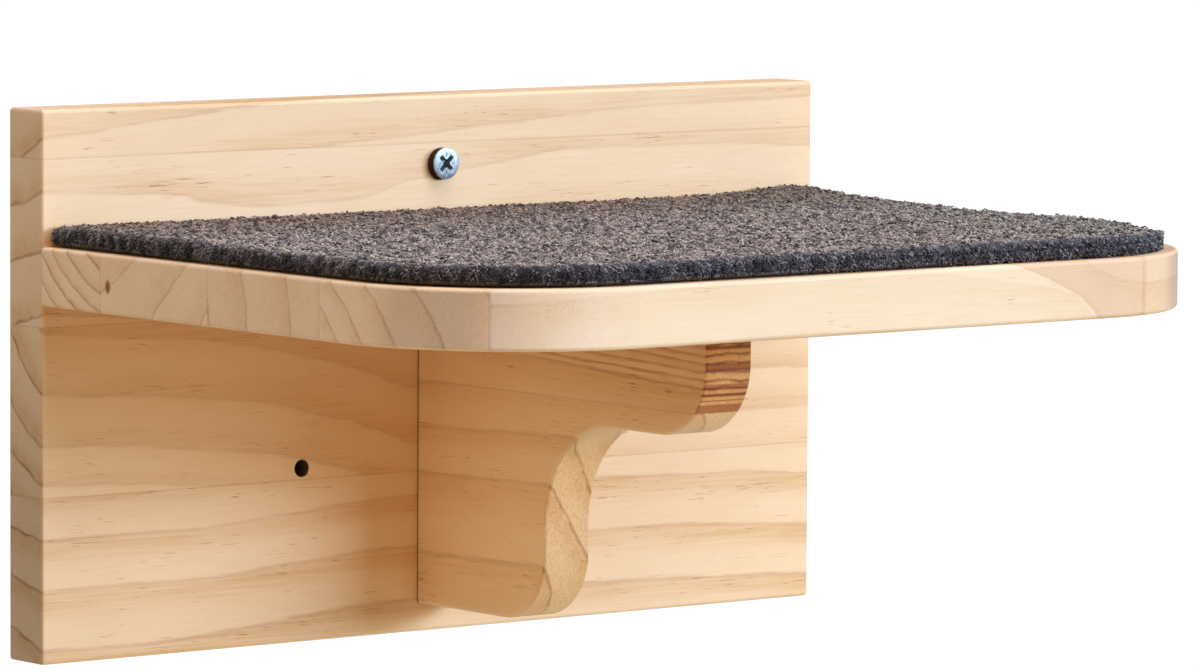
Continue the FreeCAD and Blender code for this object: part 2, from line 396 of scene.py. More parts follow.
def ring_shares(wood, radius, rings):
    """Where latewood is, and the dark line that ends each ring, by the distance from the pith."""
    start, end = rings[0] - RING_MARGIN, rings[-1] + RING_MARGIN
    late_stops = [(0, 0.0)]
    line_stops = [(0, 0.0)]
    before = start
    for ring in rings:
        wide = min(ring - before, RING_MARGIN)
        edges = (ring - 0.62 * wide, ring - 0.08 * wide, ring + 0.05 * wide + 0.4,
                 ring - 0.7, ring, ring + 0.35)
        spots = [(edge - start) / (end - start) for edge in edges]
        late_stops += zip(spots[:3], (0.04, 1.0, 0.0))
        line_stops += zip(spots[3:], (0.0, 1.0, 0.0))
        before = ring
    share = wood.graded(radius, start, end)
    return wood.ramp(share, late_stops, "EASE"), wood.ramp(share, line_stops)


def with_heartwood(wood, colour, run, strayed_run, depth, height, boundary, far, tone):
    """A patch of heartwood on the front, from its boundary to its far end, with a darker rim."""
    beyond = strayed_run - wood.curve(height, boundary)
    in_front = wood.eased(depth, HEART_FADE, HEART_FADE - 35)
    inside = wood.eased(beyond, -1.5, 1.5) * wood.graded(run, far, far + 1.2, 1.0, 0.75)
    off_rim = wood.number("MINIMUM", abs(beyond), abs(run - (far + 0.5)))
    rim = wood.eased(off_rim, 0.2, 1.5, 0.45, 0.0)
    colour = wood.shaded(inside * in_front, colour, tone)
    return wood.shaded(rim * in_front, colour, HEART_LINE)


def with_corners(wood, colour, endward, upward, slant_painted_shade_tone, sliced_painted_light_tone):
    """Rounded corners: a darker tone on the arcs, both for end grain cut at a slant and as painted shade, and
    a brighter bluish painted light on the left of the front stave.
    """
    crossed = abs(endward)
    upright = wood.eased(abs(upward), 0.1, 0.4, 1.0, 0.0)
    sooner = crossed + wood.graded(endward, 0.0, 0.1, 0.0, 0.22)
    slant_painted_shade = wood.eased(sooner, 0.66, 0.78)
    slant_painted_shade *= wood.eased(crossed, 0.93, 1.0, 1.0, 0.0)
    colour = wood.shaded(slant_painted_shade * upright, colour, slant_painted_shade_tone)
    leftward = endward * -1.0
    sliced_painted_light = wood.eased(leftward, 0.02, 0.3)
    sliced_painted_light *= wood.eased(leftward, 0.66, 0.7, 1.0, 0.0)
    return wood.shaded(sliced_painted_light * upright, colour, sliced_painted_light_tone)


def pine(name, staves, ends, end_span=(0.25, 0.8), end_fade=None, along="X", across="Y", parted_by="across",
         face_line=0.35, speckles=0.22, flecky=0.0, nose=None, heart=None, corners=None, knot=None, painted_shade_bores=(),
         joint=None):
    """Solid wood: rings, glue joints, flecks and fibres all run through the whole board.

    end_span: how squarely a face cuts the grain where the end tone starts and is full
    end_fade: two heights, and how bright the end grain is at each
    face_line: how far ring lines show on long faces
    nose: the height above which dense layers show on the end, and the layers
    knot: place, spread and tone
    bores: x, z and radius of each bore painted dark as the shade inside a hole, and the depth in front of
    which each shows
    joint: the run beyond which the board is painted dark, a painted shade where it meets another part
    """
    wood = Finish(name)
    place = wood.place_mm()
    split = wood.parts(place)
    run, depth, height = split[along], split[across], split["Z"]
    grain = wood.made("CombineXYZ", 0, {"X": run, "Y": depth, "Z": height})
    facing = wood.parts(wood.made("NewGeometry", "Normal"))
    end_on = wood.eased(abs(facing[along]), *end_span)
    long_side = 1.0 - end_on

    def streaky(length, width, detail=2.0, roughness=0.5):
        return wood.noise(wood.shrunk(grain, (length, width, width)), 1.0, detail, roughness)

    # Grain wanders slowly, ripples, and is feathered where it is planed along
    wander = streaky(90, 26, 1.0)
    ripple = streaky(30, 5)
    feather = streaky(9, 0.55, 2.0, 0.6)
    stray = wood.graded(wander, 0, 1, -1.8, 1.8) + wood.graded(ripple, 0, 1, -0.9, 0.9)
    stray += wood.graded(feather, 0.2, 0.8, -0.4, 0.4) * long_side

    section = wood.made("CombineXYZ", 0, {"X": depth, "Y": height})
    parted = depth if parted_by == "across" else height
    shown = [0.0] * 5
    glue = 0.0
    for stave in staves:
        radius = wood.vector("DISTANCE", section, (*stave.pith, 0)) - wood.curve(run, stave.rise) + stray
        here = (*ring_shares(wood, radius, stave.rings), stave.face_show, stave.end_show, stave.tone)
        beyond = parted > stave.start
        shown = [wood.mixed(beyond, *pair) for pair in zip(shown, here)]
        seam = wood.graded(abs(parted - stave.start), 0.05, 0.35, 1.0, 0.0)
        glue = wood.number("MAXIMUM", glue, seam)
    late, line, face_show, end_show, tone = shown

    # How strongly the rings show comes and goes along the board
    fade = wood.graded(streaky(45, 18), 0.3, 0.7, 0.5, 1.1)
    fade = wood.mixed(end_on, fade, wood.graded(ripple, 0.3, 0.7, 0.6, 1.3))
    streaks = wood.graded(streaky(26, 0.7, 2.0, 0.6), 0.3, 0.7, 0.45, 1.25)
    show = wood.mixed(end_on, face_show, end_show)
    band = late * fade * show * wood.mixed(end_on, streaks, 0.8)
    edge = line * wood.mixed(end_on, face_line, 0.95) * (fade * show)
    colour = wood.shaded(band, EARLYWOOD, LATEWOOD)
    colour = wood.shaded(edge, colour, RING_LINE)

    if nose:
        above, layers = nose
        rows = height + wood.graded(wander, 0, 1, -0.5, 0.5) - wood.graded(run, -135, -15, 0.0, 4.2)
        rows += wood.graded(feather, 0.2, 0.8, -0.12, 0.12)
        stops = [(edge, shade) for *edges, shade in layers for edge in edges]
        layered = wood.ramp(wood.graded(rows, above, above + NOSE_SPAN), stops)
        shown = end_on + long_side * wood.graded(run, -125, -80, 0.15, 0.0)
        colour = wood.shaded(shown * (height > above), colour, layered)

    # Broad pinkish clouds, then fine fibres
    clouds = streaky(80, 11, 3.0)
    colour = wood.shaded(wood.graded(clouds, 0.38, 0.68, 0.0, 0.75), colour, CLOUD)
    fibres = streaky(18, 0.5, 3.0, 0.6)
    colour = wood.shaded(wood.graded(fibres, 0.42, 0.75, 0.0, 0.6), colour, FIBRE_SHADE)

    # Short dark flecks where resin canals are cut open, most of them in the latewood
    canals = streaky(6.5, 0.27, 1.0)
    rare = wood.graded(streaky(30, 7), 0.35, 0.65, 0.83 - flecky, 0.70 - flecky) - band * 0.13
    canal = wood.graded(canals - rare, 0.0, CANAL_SOFTNESS) * long_side
    colour = wood.shaded(canal * 0.7, colour, FLECK)

    # End grain is greyer and speckled with cut fibres
    speckle = wood.noise(grain, 1.35, 3.0, 0.78)
    speckled = wood.graded(speckle, 0.40, 0.66, 1 + 0.15 * speckles, 1 - 0.30 * speckles)
    if end_fade:
        speckled *= wood.graded(height, *end_fade)
    colour = wood.shaded(end_on, colour, wood.shaded(1.0, ends, speckled))
    colour = wood.shaded(1.0, colour, tone)

    if heart:
        colour = with_heartwood(wood, colour, run, run + stray, depth, height, *heart)
    if corners:
        colour = with_corners(wood, colour, facing[along], facing["Z"], *corners)
    colour = wood.shaded(glue * 0.22, colour, RING_LINE)
    if knot:
        spot, spread, knot_tone = knot
        offset = wood.shrunk(wood.vector("SUBTRACT", place, spot), spread)
        core = wood.eased(wood.vector("LENGTH", offset), 0.4, 1.0, 1.0, 0.0)
        colour = wood.mixed(core, colour, knot_tone)
    # Painted shade: each hole's wall, and a ring under the screw head, darkened where shade falls
    for bore_x, bore_z, radius, rear in painted_shade_bores:
        aside = wood.vector("SUBTRACT", wood.scaled(place, (1, 0, 1)), (bore_x, 0, bore_z))
        inside = wood.graded(wood.vector("LENGTH", aside), radius - 0.1, radius + 0.15, 1.0, 0.0)
        colour = wood.shaded(inside * (depth < rear), colour, BORE_PAINTED_SHADE)
    # Painted shade along the part's end where it meets another part
    if joint is not None:
        painted_gap_shade = wood.eased(run, joint - 0.75, joint - 0.35)
        colour = wood.mixed(painted_gap_shade * 0.85, colour, JOINT_PAINTED_SHADE)

    gloss = wood.graded(late, 0, 1, 0.56, 0.47) + wood.graded(fibres, 0.3, 0.7, -0.04, 0.05) + end_on * 0.14
    wood.surface(colour=colour, roughness=gloss, specular=0.4)
    wood.bumps((fibres, 0.10, 0.0002), (canal, -0.25, 0.0001), (speckle * end_on, 0.5 * speckles, 0.0004))
    return wood.material


def zinc_plate():
    """Bluish zinc plating with a faint brushed and mottled surface."""
    zinc = Finish("zinc_plating")
    place = zinc.made("TexCoord", "Object")
    mottle = zinc.noise(place, 900.0, 3.0, 0.6)
    scuffs = zinc.noise(zinc.scaled(place, (1, 6, 1)), 1500.0)
    tones = ((0.3, (0.16, 0.19, 0.20)), (0.5, (0.26, 0.29, 0.29)), (0.7, (0.38, 0.39, 0.37)))
    colour = zinc.ramp(mottle, tones)
    zinc.surface(colour=colour, metallic=0.7, roughness=zinc.graded(scuffs, 0.3, 0.7, 0.32, 0.5))
    zinc.bumps((scuffs, 0.08, 0.0001), (mottle, 0.06, 0.0002))
    return zinc.material


def beech():
    """Pinkish brown hardwood with short dark flecks, for the dowels."""
    wood = Finish("beech_dowel")
    place = wood.place_mm()
    streaks = wood.noise(wood.shrunk(place, (0.6, 9, 0.6)), 1.0, 3.0)
    cells = wood.made("TexVoronoi", "Distance", {"Vector": wood.shrunk(place, (0.5, 2.4, 0.5)), "Scale": 1.0})
    flecks = wood.graded(cells, 0.1, 0.3, 1.0, 0.0)
    colour = wood.mixed(wood.graded(streaks, 0.3, 0.7), (0.62, 0.40, 0.25), (0.50, 0.30, 0.17))
    colour = wood.mixed(flecks * 0.4, colour, (0.28, 0.14, 0.07))
    wood.surface(colour=colour, roughness=wood.graded(streaks, 0.3, 0.7, 0.5, 0.62))
    wood.bumps((streaks, 0.15, 0.0002))
    return wood.material


# Felt: the hairs' tones on top and where it is cut, and the height of the layer line, in millimetres
TOP_PALEST = (0.54, 0.40, 0.30)
TOP_PALE = (0.405, 0.292, 0.212)
TOP_MID = (0.120, 0.086, 0.063)
TOP_DARK = (0.020, 0.0125, 0.010)
CUT_PALEST = (0.25, 0.217, 0.215)
CUT_PALE = (0.155, 0.132, 0.136)
CUT_MID = (0.050, 0.0405, 0.0445)
CUT_DARK = (0.014, 0.0108, 0.0125)
WALL_SIDE_PAINTED_SHADE = (0.66, 0.53, 0.41)
FAR_SIDE_TINT = (0.88, 0.955, 0.94)
LAYER_TINT = 0.3
LAYER_HEIGHT = 39.2


def felt_colour(felt, place, top, low):
    """Browner and darker by the wall, a painted shade with painted warm light bounced from the board, and a
    dark layer line half way up the front's cut edge.
    """
    cut = felt.made("Attribute", "Fac", attribute_name="cut")
    colour = felt.mixed(cut, top, low)
    split = felt.parts(place)
    # Painted shade and painted warm bounce light towards the back board
    near_wall_painted_shade = felt.eased(split["Y"], -95, -20, 0.0, 0.9) * felt.graded(cut, 0, 1, 1.0, 0.3)
    colour = felt.shaded(near_wall_painted_shade, colour, WALL_SIDE_PAINTED_SHADE)
    far_side = felt.eased(split["X"], 20, 120) * (1.0 - cut)
    colour = felt.shaded(far_side, colour, FAR_SIDE_TINT)
    wavy = felt.graded(felt.noise(place, 0.25, 1.0), 0, 1, -0.35, 0.35)
    line = felt.eased(abs(split["Z"] + wavy - LAYER_HEIGHT), 0.15, 0.5, 0.75, 0.0)
    line *= felt.graded(split["X"], -70, 0)
    return felt.shaded(line * cut, colour, LAYER_TINT)


def felt_pile():
    """Heathered felt: beige, grey and near-black hairs on top, navy grey where it is cut."""
    felt = Finish("felt_pile")
    place = felt.place_mm()
    hairs = felt.noise(felt.shrunk(place, (0.55, 0.55, 0.4)), 1.0, 3.0, 0.65)
    clumps = felt.noise(place, 0.55, 2.0, 0.6)
    drift = felt.noise(place, 0.05)
    tangle = hairs * 0.65 + clumps * 0.35
    top = felt.ramp(tangle, ((0.40, TOP_DARK), (0.48, TOP_MID), (0.58, TOP_PALE), (0.70, TOP_PALEST)))
    top = felt.shaded(felt.graded(drift, 0.35, 0.65, 0.0, 0.35), top, (0.86, 0.9, 1.0))
    low = felt.ramp(tangle, ((0.40, CUT_DARK), (0.54, CUT_MID), (0.68, CUT_PALE)))
    colour = felt_colour(felt, place, top, low)
    felt.surface(colour=colour, roughness=felt.graded(hairs, 0.3, 0.7, 0.9, 1.0), specular=0.15,
                 sheen=0.12, sheen_roughness=0.6)
    felt.bumps((hairs, 0.9, 0.0005), (clumps, 0.5, 0.0006))
    return felt.material


def loose_fibre():
    """Single hairs, each with its own shade from the attribute that their mesh carries."""
    felt = Finish("loose_fibre")
    shade = felt.made("Attribute", "Fac", attribute_name="shade")
    top = felt.ramp(shade, ((0.0, TOP_DARK), (0.35, TOP_MID), (0.68, TOP_PALE), (1.0, TOP_PALEST)))
    low = felt.ramp(shade, ((0.0, CUT_DARK), (0.45, CUT_MID), (0.8, CUT_PALE), (1.0, CUT_PALEST)))
    place = felt.place_mm()
    dirt = felt.noise(place, 2.0)
    colour = felt_colour(felt, place, top, low)
    colour = felt.shaded(felt.graded(dirt, 0.35, 0.7, 0.0, 0.4), colour, (0.8, 0.78, 0.78))
    felt.surface(colour=colour, roughness=felt.graded(dirt, 0.3, 0.7, 0.85, 1.0), specular=0.2,
                 sheen=0.1, sheen_roughness=0.5)
    return felt.material


# The backing's top layer is a pale film: its lower edge, in millimetres
FILM_START = 37.2


def carpet_backing():
    """Thin latex backing with a woven trace, painted dark brown over its grey as the shade in the gap under
    the pile's edge.
    """
    latex = Finish("latex_backing_and_painted_gap_shade")
    place = latex.place_mm()
    split = latex.parts(place)
    threads = latex.made("TexWave", "Fac", {"Vector": place, "Scale": 0.35, "Distortion": 1.5, "Detail": 1.0})
    lumps = latex.noise(place, 1.1, 3.0, 0.6)
    # Painted shade: the backing's dark brown stands for the shaded gap under the pile
    colour = latex.mixed(latex.graded(lumps, 0.3, 0.7), (0.030, 0.014, 0.006), (0.06, 0.028, 0.012))
    colour = latex.mixed(threads * 0.15, colour, (0.10, 0.07, 0.05))
    film = latex.eased(split["Z"], FILM_START - 0.1, FILM_START)
    film *= latex.graded(split["X"], -20, 30, 1.0, 0.1)
    colour = latex.mixed(film * latex.graded(lumps, 0.4, 0.6, 0.1, 0.6), colour, (0.30, 0.29, 0.24))
    latex.surface(colour=colour, roughness=latex.graded(lumps, 0.3, 0.7, 0.75, 0.9))
    latex.bumps((threads, 0.4, 0.0003), (lumps, 0.3, 0.0003))
    return latex.material


def foam_tape():
    """Off-white double-sided tape with fine pores."""
    tape = Finish("foam_tape")
    place = tape.place_mm()
    pores = tape.made("TexVoronoi", "Distance", {"Vector": place, "Scale": 2.5})
    stains = tape.noise(place, 0.06, 3.0)
    colour = tape.mixed(tape.graded(pores, 0.1, 0.5), (0.55, 0.50, 0.42), (0.72, 0.68, 0.60))
    colour = tape.shaded(tape.graded(stains, 0.4, 0.7, 0.0, 0.4), colour, (0.85, 0.78, 0.66))
    tape.surface(colour=colour, roughness=tape.graded(pores, 0.0, 0.6, 0.5, 0.75))
    tape.bumps((pores, 0.3, 0.0002))
    return tape.material


# Pieces

def mesh_from(name, bm, outward=True):
    """A mesh from a bmesh, which is freed."""
    if outward:
        bmesh.ops.recalc_face_normals(bm, faces=bm.faces)
    mesh = bpy.data.meshes.new(name)
    bm.to_mesh(mesh)
    bm.free()
    return mesh


def placed(name, data):
    """A new object in the scene."""
    thing = bpy.data.objects.new(name, data)
    bpy.context.scene.collection.objects.link(thing)
    return thing


def moved(bm, step, verts=None):
    bmesh.ops.translate(bm, vec=step, verts=verts or bm.verts)


def resized(bm, factors):
    bmesh.ops.scale(bm, vec=factors, verts=bm.verts)


def rotated(bm, degrees, axis):
    turn = Matrix.Rotation(radians(degrees), 3, axis)
    bmesh.ops.rotate(bm, matrix=turn, verts=bm.verts)


def grid(columns, rows, size, middle):
    """A flat grid of cells about a middle."""
    bm = bmesh.new()
    bmesh.ops.create_grid(bm, x_segments=columns, y_segments=rows, size=0.5)
    resized(bm, (*size, 1))
    moved(bm, middle)
    return bm


def verts_of(geometry):
    return [item for item in geometry if isinstance(item, bmesh.types.BMVert)]


def steep_edges(bm, rise):
    return [edge for edge in bm.edges if abs(edge.verts[0].co.z - edge.verts[1].co.z) > rise]


def finished(name, bm, material, node):
    """A mesh object from a bmesh in millimetres, riding on the step and standing for a node."""
    resized(bm, (MM, MM, MM))
    return settled(name, mesh_from(name, bm), material, node)


def settled(name, mesh, material, node):
    piece = placed(name, mesh)
    mesh.materials.append(material)
    mesh.polygons.foreach_set("use_smooth", [True] * len(mesh.polygons))
    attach(piece, "root")
    if node:
        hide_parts(node)
    return piece


def box_mm(node):
    low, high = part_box(node)
    return low / MM, high / MM


class Outline:
    """The carpet's plan: a rectangle at the back board with two large round front corners."""

    def __init__(self, node, radius):
        low, high = box_mm(node)
        self.left, self.front, self.low = low
        self.right, self.rear, self.high = high
        self.wide = self.right - self.left
        self.deep = self.rear - self.front
        self.thickness = self.high - self.low
        self.middle = Vector(((self.left + self.right) / 2, (self.front + self.rear) / 2, 0))
        self.radius = radius

    def depth_inside(self, x, y):
        """How far a place is inside the edge, negative outside."""
        aside = abs(x - self.middle.x)
        inside = min(self.wide / 2 - aside, y - self.front, self.rear - y)
        over_x = aside - (self.wide / 2 - self.radius)
        over_y = self.front + self.radius - y
        if over_x > 0 and over_y > 0:
            inside = min(self.radius - hypot(over_x, over_y), self.rear - y)
        return inside

    def sheet(self, cell):
        """A flat grid of cells cut to the outline, at height zero."""
        size = (self.wide, self.deep)
        bm = grid(round(self.wide / cell), round(self.deep / cell), size, self.middle)
        for side in (-1, 1):
            centre_x = self.middle.x + side * (self.wide / 2 - self.radius)
            centre = Vector((centre_x, self.front + self.radius, 0))
            for cut in range(CORNER_CUTS):
                turn = radians(90) * (cut + 0.5) / CORNER_CUTS
                away = Vector((side * cos(turn), -sin(turn), 0))
                corner = [vert for vert in bm.verts
                          if (vert.co.x - centre.x) * side > -cell and vert.co.y < centre.y + cell]
                linked = [item for vert in corner for item in (*vert.link_edges, *vert.link_faces)]
                bmesh.ops.bisect_plane(bm, geom=list(dict.fromkeys(corner + linked)),
                                       plane_co=centre + away * self.radius, plane_no=away, clear_outer=True)
        bmesh.ops.remove_doubles(bm, verts=bm.verts, dist=cell * 0.2)
        return bm

    def slab(self, cell, rows):
        """The sheet with a rim of rows down to its thickness, and closed below."""
        bm = self.sheet(cell)
        rim = [edge for edge in bm.edges if edge.is_boundary]
        grown = bmesh.ops.extrude_edge_only(bm, edges=rim)["geom"]
        moved(bm, (0, 0, -self.thickness), verts_of(grown))
        lower_edges = [item for item in grown if isinstance(item, bmesh.types.BMEdge)
                       and all(vert.co.z < -self.thickness / 2 for vert in item.verts)]
        bmesh.ops.edgeloop_fill(bm, edges=lower_edges)
        uprights = steep_edges(bm, self.thickness / 2)
        bmesh.ops.subdivide_edges(bm, edges=uprights, cuts=rows - 1, use_grid_fill=True)
        return bm


pad = Outline("carpet_pad", CARPET_CORNER)


def pile_top(x, y):
    """The pile's height above its own mean level, with tufts, clumps and swells."""
    rise = 0.0
    for centre_x, centre_y, spread, swell in PILE_SWELLS:
        rise += swell * exp(-((x - centre_x) ** 2 + (y - centre_y) ** 2) / spread ** 2)
    tufts = noise.noise(Vector((x / TUFT_WAVE, y / TUFT_WAVE, 3.7)))
    clumps = noise.noise(Vector((x / CLUMP_WAVE, y / CLUMP_WAVE, 9.1)))
    rounding = max(0.0, PILE_ROUNDING - pad.depth_inside(x, y))
    fall = PILE_ROUNDING - sqrt(max(0.0, PILE_ROUNDING ** 2 - min(rounding, PILE_ROUNDING) ** 2))
    return rise + TUFT_HEIGHT * tufts + CLUMP_HEIGHT * clumps - fall


def pulled_in(x):
    """The carpet was cut a little short on its right."""
    share = clamped((x - RIGHT_PULL_START) / (pad.right - RIGHT_PULL_START))
    return x - RIGHT_PULL * share * share * (3 - 2 * share)


def cut_share(inside, level):
    """One at the cut edge, falling to nothing a little way in on the top."""
    over = (inside - CUT_BORDER * 0.25) / CUT_BORDER
    return clamped(1.0 - over) if level > 0.9 else 1.0


def carpet_pile():
    """The felt sheet: tufted on top, ragged and a little swollen at its cut edge."""
    thickness = pad.thickness
    bm = pad.slab(PILE_CELL, PILE_RIM_ROWS)
    cut = bm.verts.layers.float.new("cut")
    for vert in bm.verts:
        x, y, z = vert.co
        level = 1 + z / thickness
        inside = pad.depth_inside(x, y)
        vert[cut] = cut_share(inside, level)
        vert.co.z = pad.low + level * (thickness + pile_top(x, y))
        if inside < ON_RIM and z > -thickness:
            out = Vector((x, y, 0)) - pad.middle
            out = Vector((out.x / 1.4, out.y, 0)).normalized()
            ragged = noise.noise(Vector((x / RIM_WAVE, y / RIM_WAVE, z / RIM_WAVE_UP)))
            push = RIM_BULGE * sin(pi * min(1, level + 0.15)) + RIM_RAGGEDNESS * ragged
            vert.co.x += out.x * push
            vert.co.y = min(vert.co.y + out.y * push, pad.rear + 0.3)
        vert.co.x = pulled_in(vert.co.x)
    return finished("carpet_pile", bm, FELT, "carpet_pad")


def fibre_pattern(fibres):
    """One hair of unit length and thickness, standing on the origin and bent, as points and faces."""
    bm = bmesh.new()
    bmesh.ops.create_cone(bm, cap_ends=True, segments=3, radius1=0.5, radius2=fibres.tip, depth=1.0)
    moved(bm, (0, 0, 0.5))
    bmesh.ops.bisect_plane(bm, geom=bm.verts[:] + bm.edges[:] + bm.faces[:],
                           plane_co=(0, 0, 0.5), plane_no=(0, 0, 1))
    middle_shift, end_shift = fibres.bend
    for vert in bm.verts:
        if vert.co.z > 0.9:
            vert.co.x += end_shift
        elif vert.co.z > 0.4:
            vert.co.x += middle_shift
    bm.verts.index_update()
    points = np.array([vert.co for vert in bm.verts])
    faces = [[vert.index for vert in face.verts] for face in bm.faces]
    bm.free()
    return points, faces


def scattered(name, fibres, bases, aims, bend_to, lengths, thicknesses, shades, cuts):
    """A piece of many hairs, each turned, sized and shaded."""
    points, faces = fibre_pattern(fibres)
    count = len(bases)
    aims = aims / np.linalg.norm(aims, axis=1)[:, None]
    other = np.cross(aims, bend_to)
    other /= np.linalg.norm(other, axis=1)[:, None]
    axes = np.stack([np.cross(other, aims), other, aims], axis=1)
    sizes = np.stack([thicknesses, thicknesses, lengths], axis=1)
    places = bases[:, None, :] + np.einsum("pa,ha,hax->hpx", points, sizes, axes)
    places[..., 1] = np.minimum(places[..., 1], box_mm("back_board")[0].y - REAR_LIMIT_GAP)
    corners = np.concatenate(faces)
    starts = np.cumsum([0] + [len(face) for face in faces[:-1]])
    mesh = bpy.data.meshes.new(name)
    mesh.vertices.add(count * len(points))
    mesh.vertices.foreach_set("co", (places * MM).ravel())
    mesh.loops.add(count * len(corners))
    offsets = np.arange(count)[:, None]
    mesh.loops.foreach_set("vertex_index", (corners[None, :] + offsets * len(points)).ravel())
    mesh.polygons.add(count * len(faces))
    mesh.polygons.foreach_set("loop_start", (starts[None, :] + offsets * len(corners)).ravel())
    mesh.update(calc_edges=True)
    for key, values in (("shade", shades), ("cut", cuts)):
        layer = mesh.attributes.new(key, "FLOAT", "POINT")
        layer.data.foreach_set("value", np.repeat(values, len(points)))
    return settled(name, mesh, FIBRE, "carpet_pad")


def tuft_shade(place, fibres):
    """The hairs of one tuft share a shade, and each strays from it a little."""
    tuft = noise.noise(Vector(place) / fibres.shade_wave)
    return clamped(0.5 + fibres.shade_strength * tuft + random.uniform(-0.22, 0.22))


def top_fibres(name):
    """Curls all over the top, each an arch that lies on its side or stands up a little."""
    count = TOP_FIBRES.count
    hairs = []
    while len(hairs) < count:
        x = random.uniform(pad.left, pad.right)
        y = random.uniform(pad.front, pad.rear)
        inside = pad.depth_inside(x, y)
        if inside > 0.3:
            base = (pulled_in(x), y, pad.high + pile_top(x, y) - TOP_FIBRE_SINK)
            hairs.append((base, 0.75 * cut_share(inside, 1.0)))
    bases, cuts = (np.array(column) for column in zip(*hairs))
    turns = chance.uniform(0, 2 * pi, count)
    aims = np.stack([np.cos(turns), np.sin(turns), chance.uniform(-0.1, 0.22, count)], axis=1)
    bend_to = chance.normal(0, 0.45, (count, 3))
    bend_to[:, 2] += 1.0
    thick = TOP_FIBRES.thickness * chance.uniform(0.7, 1.3, count)
    shades = np.array([tuft_shade(base, TOP_FIBRES) for base in bases]) + RIM_PALENESS * cuts
    lengths = chance.uniform(*TOP_FIBRES.lengths, count)
    return scattered(name, TOP_FIBRES, bases, aims, bend_to, lengths, thick, shades, cuts)


def edge_points(count):
    """Random places round the carpet's cut edge, with the way out from each."""
    side = pad.deep - pad.radius
    flank = side + pad.radius * pi / 2
    front = pad.wide - 2 * pad.radius
    places = []
    for _ in range(count):
        at = random.uniform(0, 2 * flank + front + pad.wide * 0.6)
        mirror, along = (1, at - flank) if at > flank else (-1, at)
        centre_x = pad.middle.x + mirror * (pad.wide / 2 - pad.radius)
        if at > 2 * flank + front:
            places.append((random.uniform(pad.left, pad.right), pad.rear, 0, 1))
        elif at > 2 * flank:
            places.append((random.uniform(pad.left + pad.radius, pad.right - pad.radius), pad.front, 0, -1))
        elif along < side:
            places.append((centre_x + mirror * pad.radius, pad.rear - along, mirror, 0))
        else:
            turn = (along - side) / pad.radius
            out_x, out_y = mirror * cos(turn), -sin(turn)
            places.append((centre_x + pad.radius * out_x, pad.front + pad.radius * (1 + out_y), out_x, out_y))
    return places


def right_share(x):
    """Nothing on the carpet's left, one on its right."""
    return clamped((x + 30) / 60)


def edge_shade(x, y, z):
    """Upright tufts along the left of the cut edge, level layers along its right."""
    left, right = EDGE_SHADE_HEIGHTS
    stretch = left + (right - left) * right_share(x)
    return tuft_shade((x, y, stretch * z), EDGE_FIBRES)


def edge_fibres(name):
    """Hairs that stick out of the cut edge and stand up along its rim."""
    count = EDGE_FIBRES.count
    hairs = []
    for x, y, out_x, out_y in edge_points(count):
        level = random.random() ** 0.85
        inward = 0.25 + 0.5 * max(0, level - 0.7)
        base_x, base_y = x - out_x * inward, y - out_y * inward
        top = pad.thickness + pile_top(base_x, base_y)
        foot = -0.15 - EDGE_DROOP * right_share(x)
        base = (pulled_in(base_x), base_y, pad.low + foot + (top - 0.42 - foot) * level)
        lean = random.uniform(-0.6, 0.6)
        rise = random.uniform(-1.2, 0.35 - 0.4 * max(0.0, level - 0.6))
        aim = (0.7 * out_x - out_y * lean, 0.7 * out_y + out_x * lean, rise)
        paler = 0.6 * level - 0.32 + 0.3 * (1 - level) * right_share(x)
        hairs.append((base, aim, paler, min(1.0, max(0.7, 2.6 - 2.0 * level))))
    bases, aims, paler, cuts = (np.array(column) for column in zip(*hairs))
    lengths = chance.uniform(*EDGE_FIBRES.lengths, count)
    thick = EDGE_FIBRES.thickness * chance.uniform(0.8, 1.3, count)
    shades = np.array([edge_shade(*base) for base in bases]) + paler
    bend_to = chance.normal(0, 1, (count, 3))
    return scattered(name, EDGE_FIBRES, bases, aims, bend_to, lengths, thick, shades, cuts)


def backing_layer():
    """The thin backing, with a slightly wavy edge that peeps out under the pile."""
    outline = Outline("carpet_backing", CARPET_CORNER)
    bm = outline.slab(BACKING_CELL, 2)
    for vert in bm.verts:
        x, y, z = vert.co
        vert.co.z = outline.high + z
        if outline.depth_inside(x, y) < ON_RIM:
            wave = 0.18 * noise.noise(Vector((x / 7, y / 7, 2.0))) - 0.05
            vert.co.x += wave if x > 0 else -wave
            vert.co.y -= abs(wave)
        vert.co.x = pulled_in(vert.co.x)
    return finished("carpet_backing_layer", bm, BACKING, "carpet_backing")


def tape_strips():
    """Each strip of tape is cut from one ribbon: soft long edges, torn short ones."""
    low, high = box_mm("carpet_tape")
    points = [(vert.co.x / MM, vert.co.y / MM) for vert in NODES["carpet_tape"].data.vertices]
    bands = []
    for y in sorted({round(y, 2) for x, y in points}):
        if bands and y - bands[-1][1] < TAPE_WIDTH + 1:
            bands[-1][1] = y
        else:
            bands.append([y, y])
    for number, (front, rear) in enumerate(bands, 1):
        inside = [x for x, y in points if front - 0.1 < y < rear + 0.1]
        narrow = [x for x, y in points if abs(y - front) < 0.05]
        left, right = max(min(inside), min(narrow)), min(max(inside), max(narrow))
        bm = grid(60, 7, (right - left, rear - front), ((left + right) / 2, (front + rear) / 2, high.z))
        grown = bmesh.ops.extrude_face_region(bm, geom=bm.faces[:])["geom"]
        moved(bm, (0, 0, low.z - high.z), verts_of(grown))
        for vert in bm.verts:
            if min(vert.co.x - left, right - vert.co.x) < 0.5:
                torn = TORN_END + 0.5 * noise.noise(Vector((vert.co.y / 2, number * 5.0, 0)))
                vert.co.x += torn if vert.co.x < 0 else -torn
        strip = finished(f"tape_strip_{number}", bm, TAPE, "carpet_tape")


# Wall screw

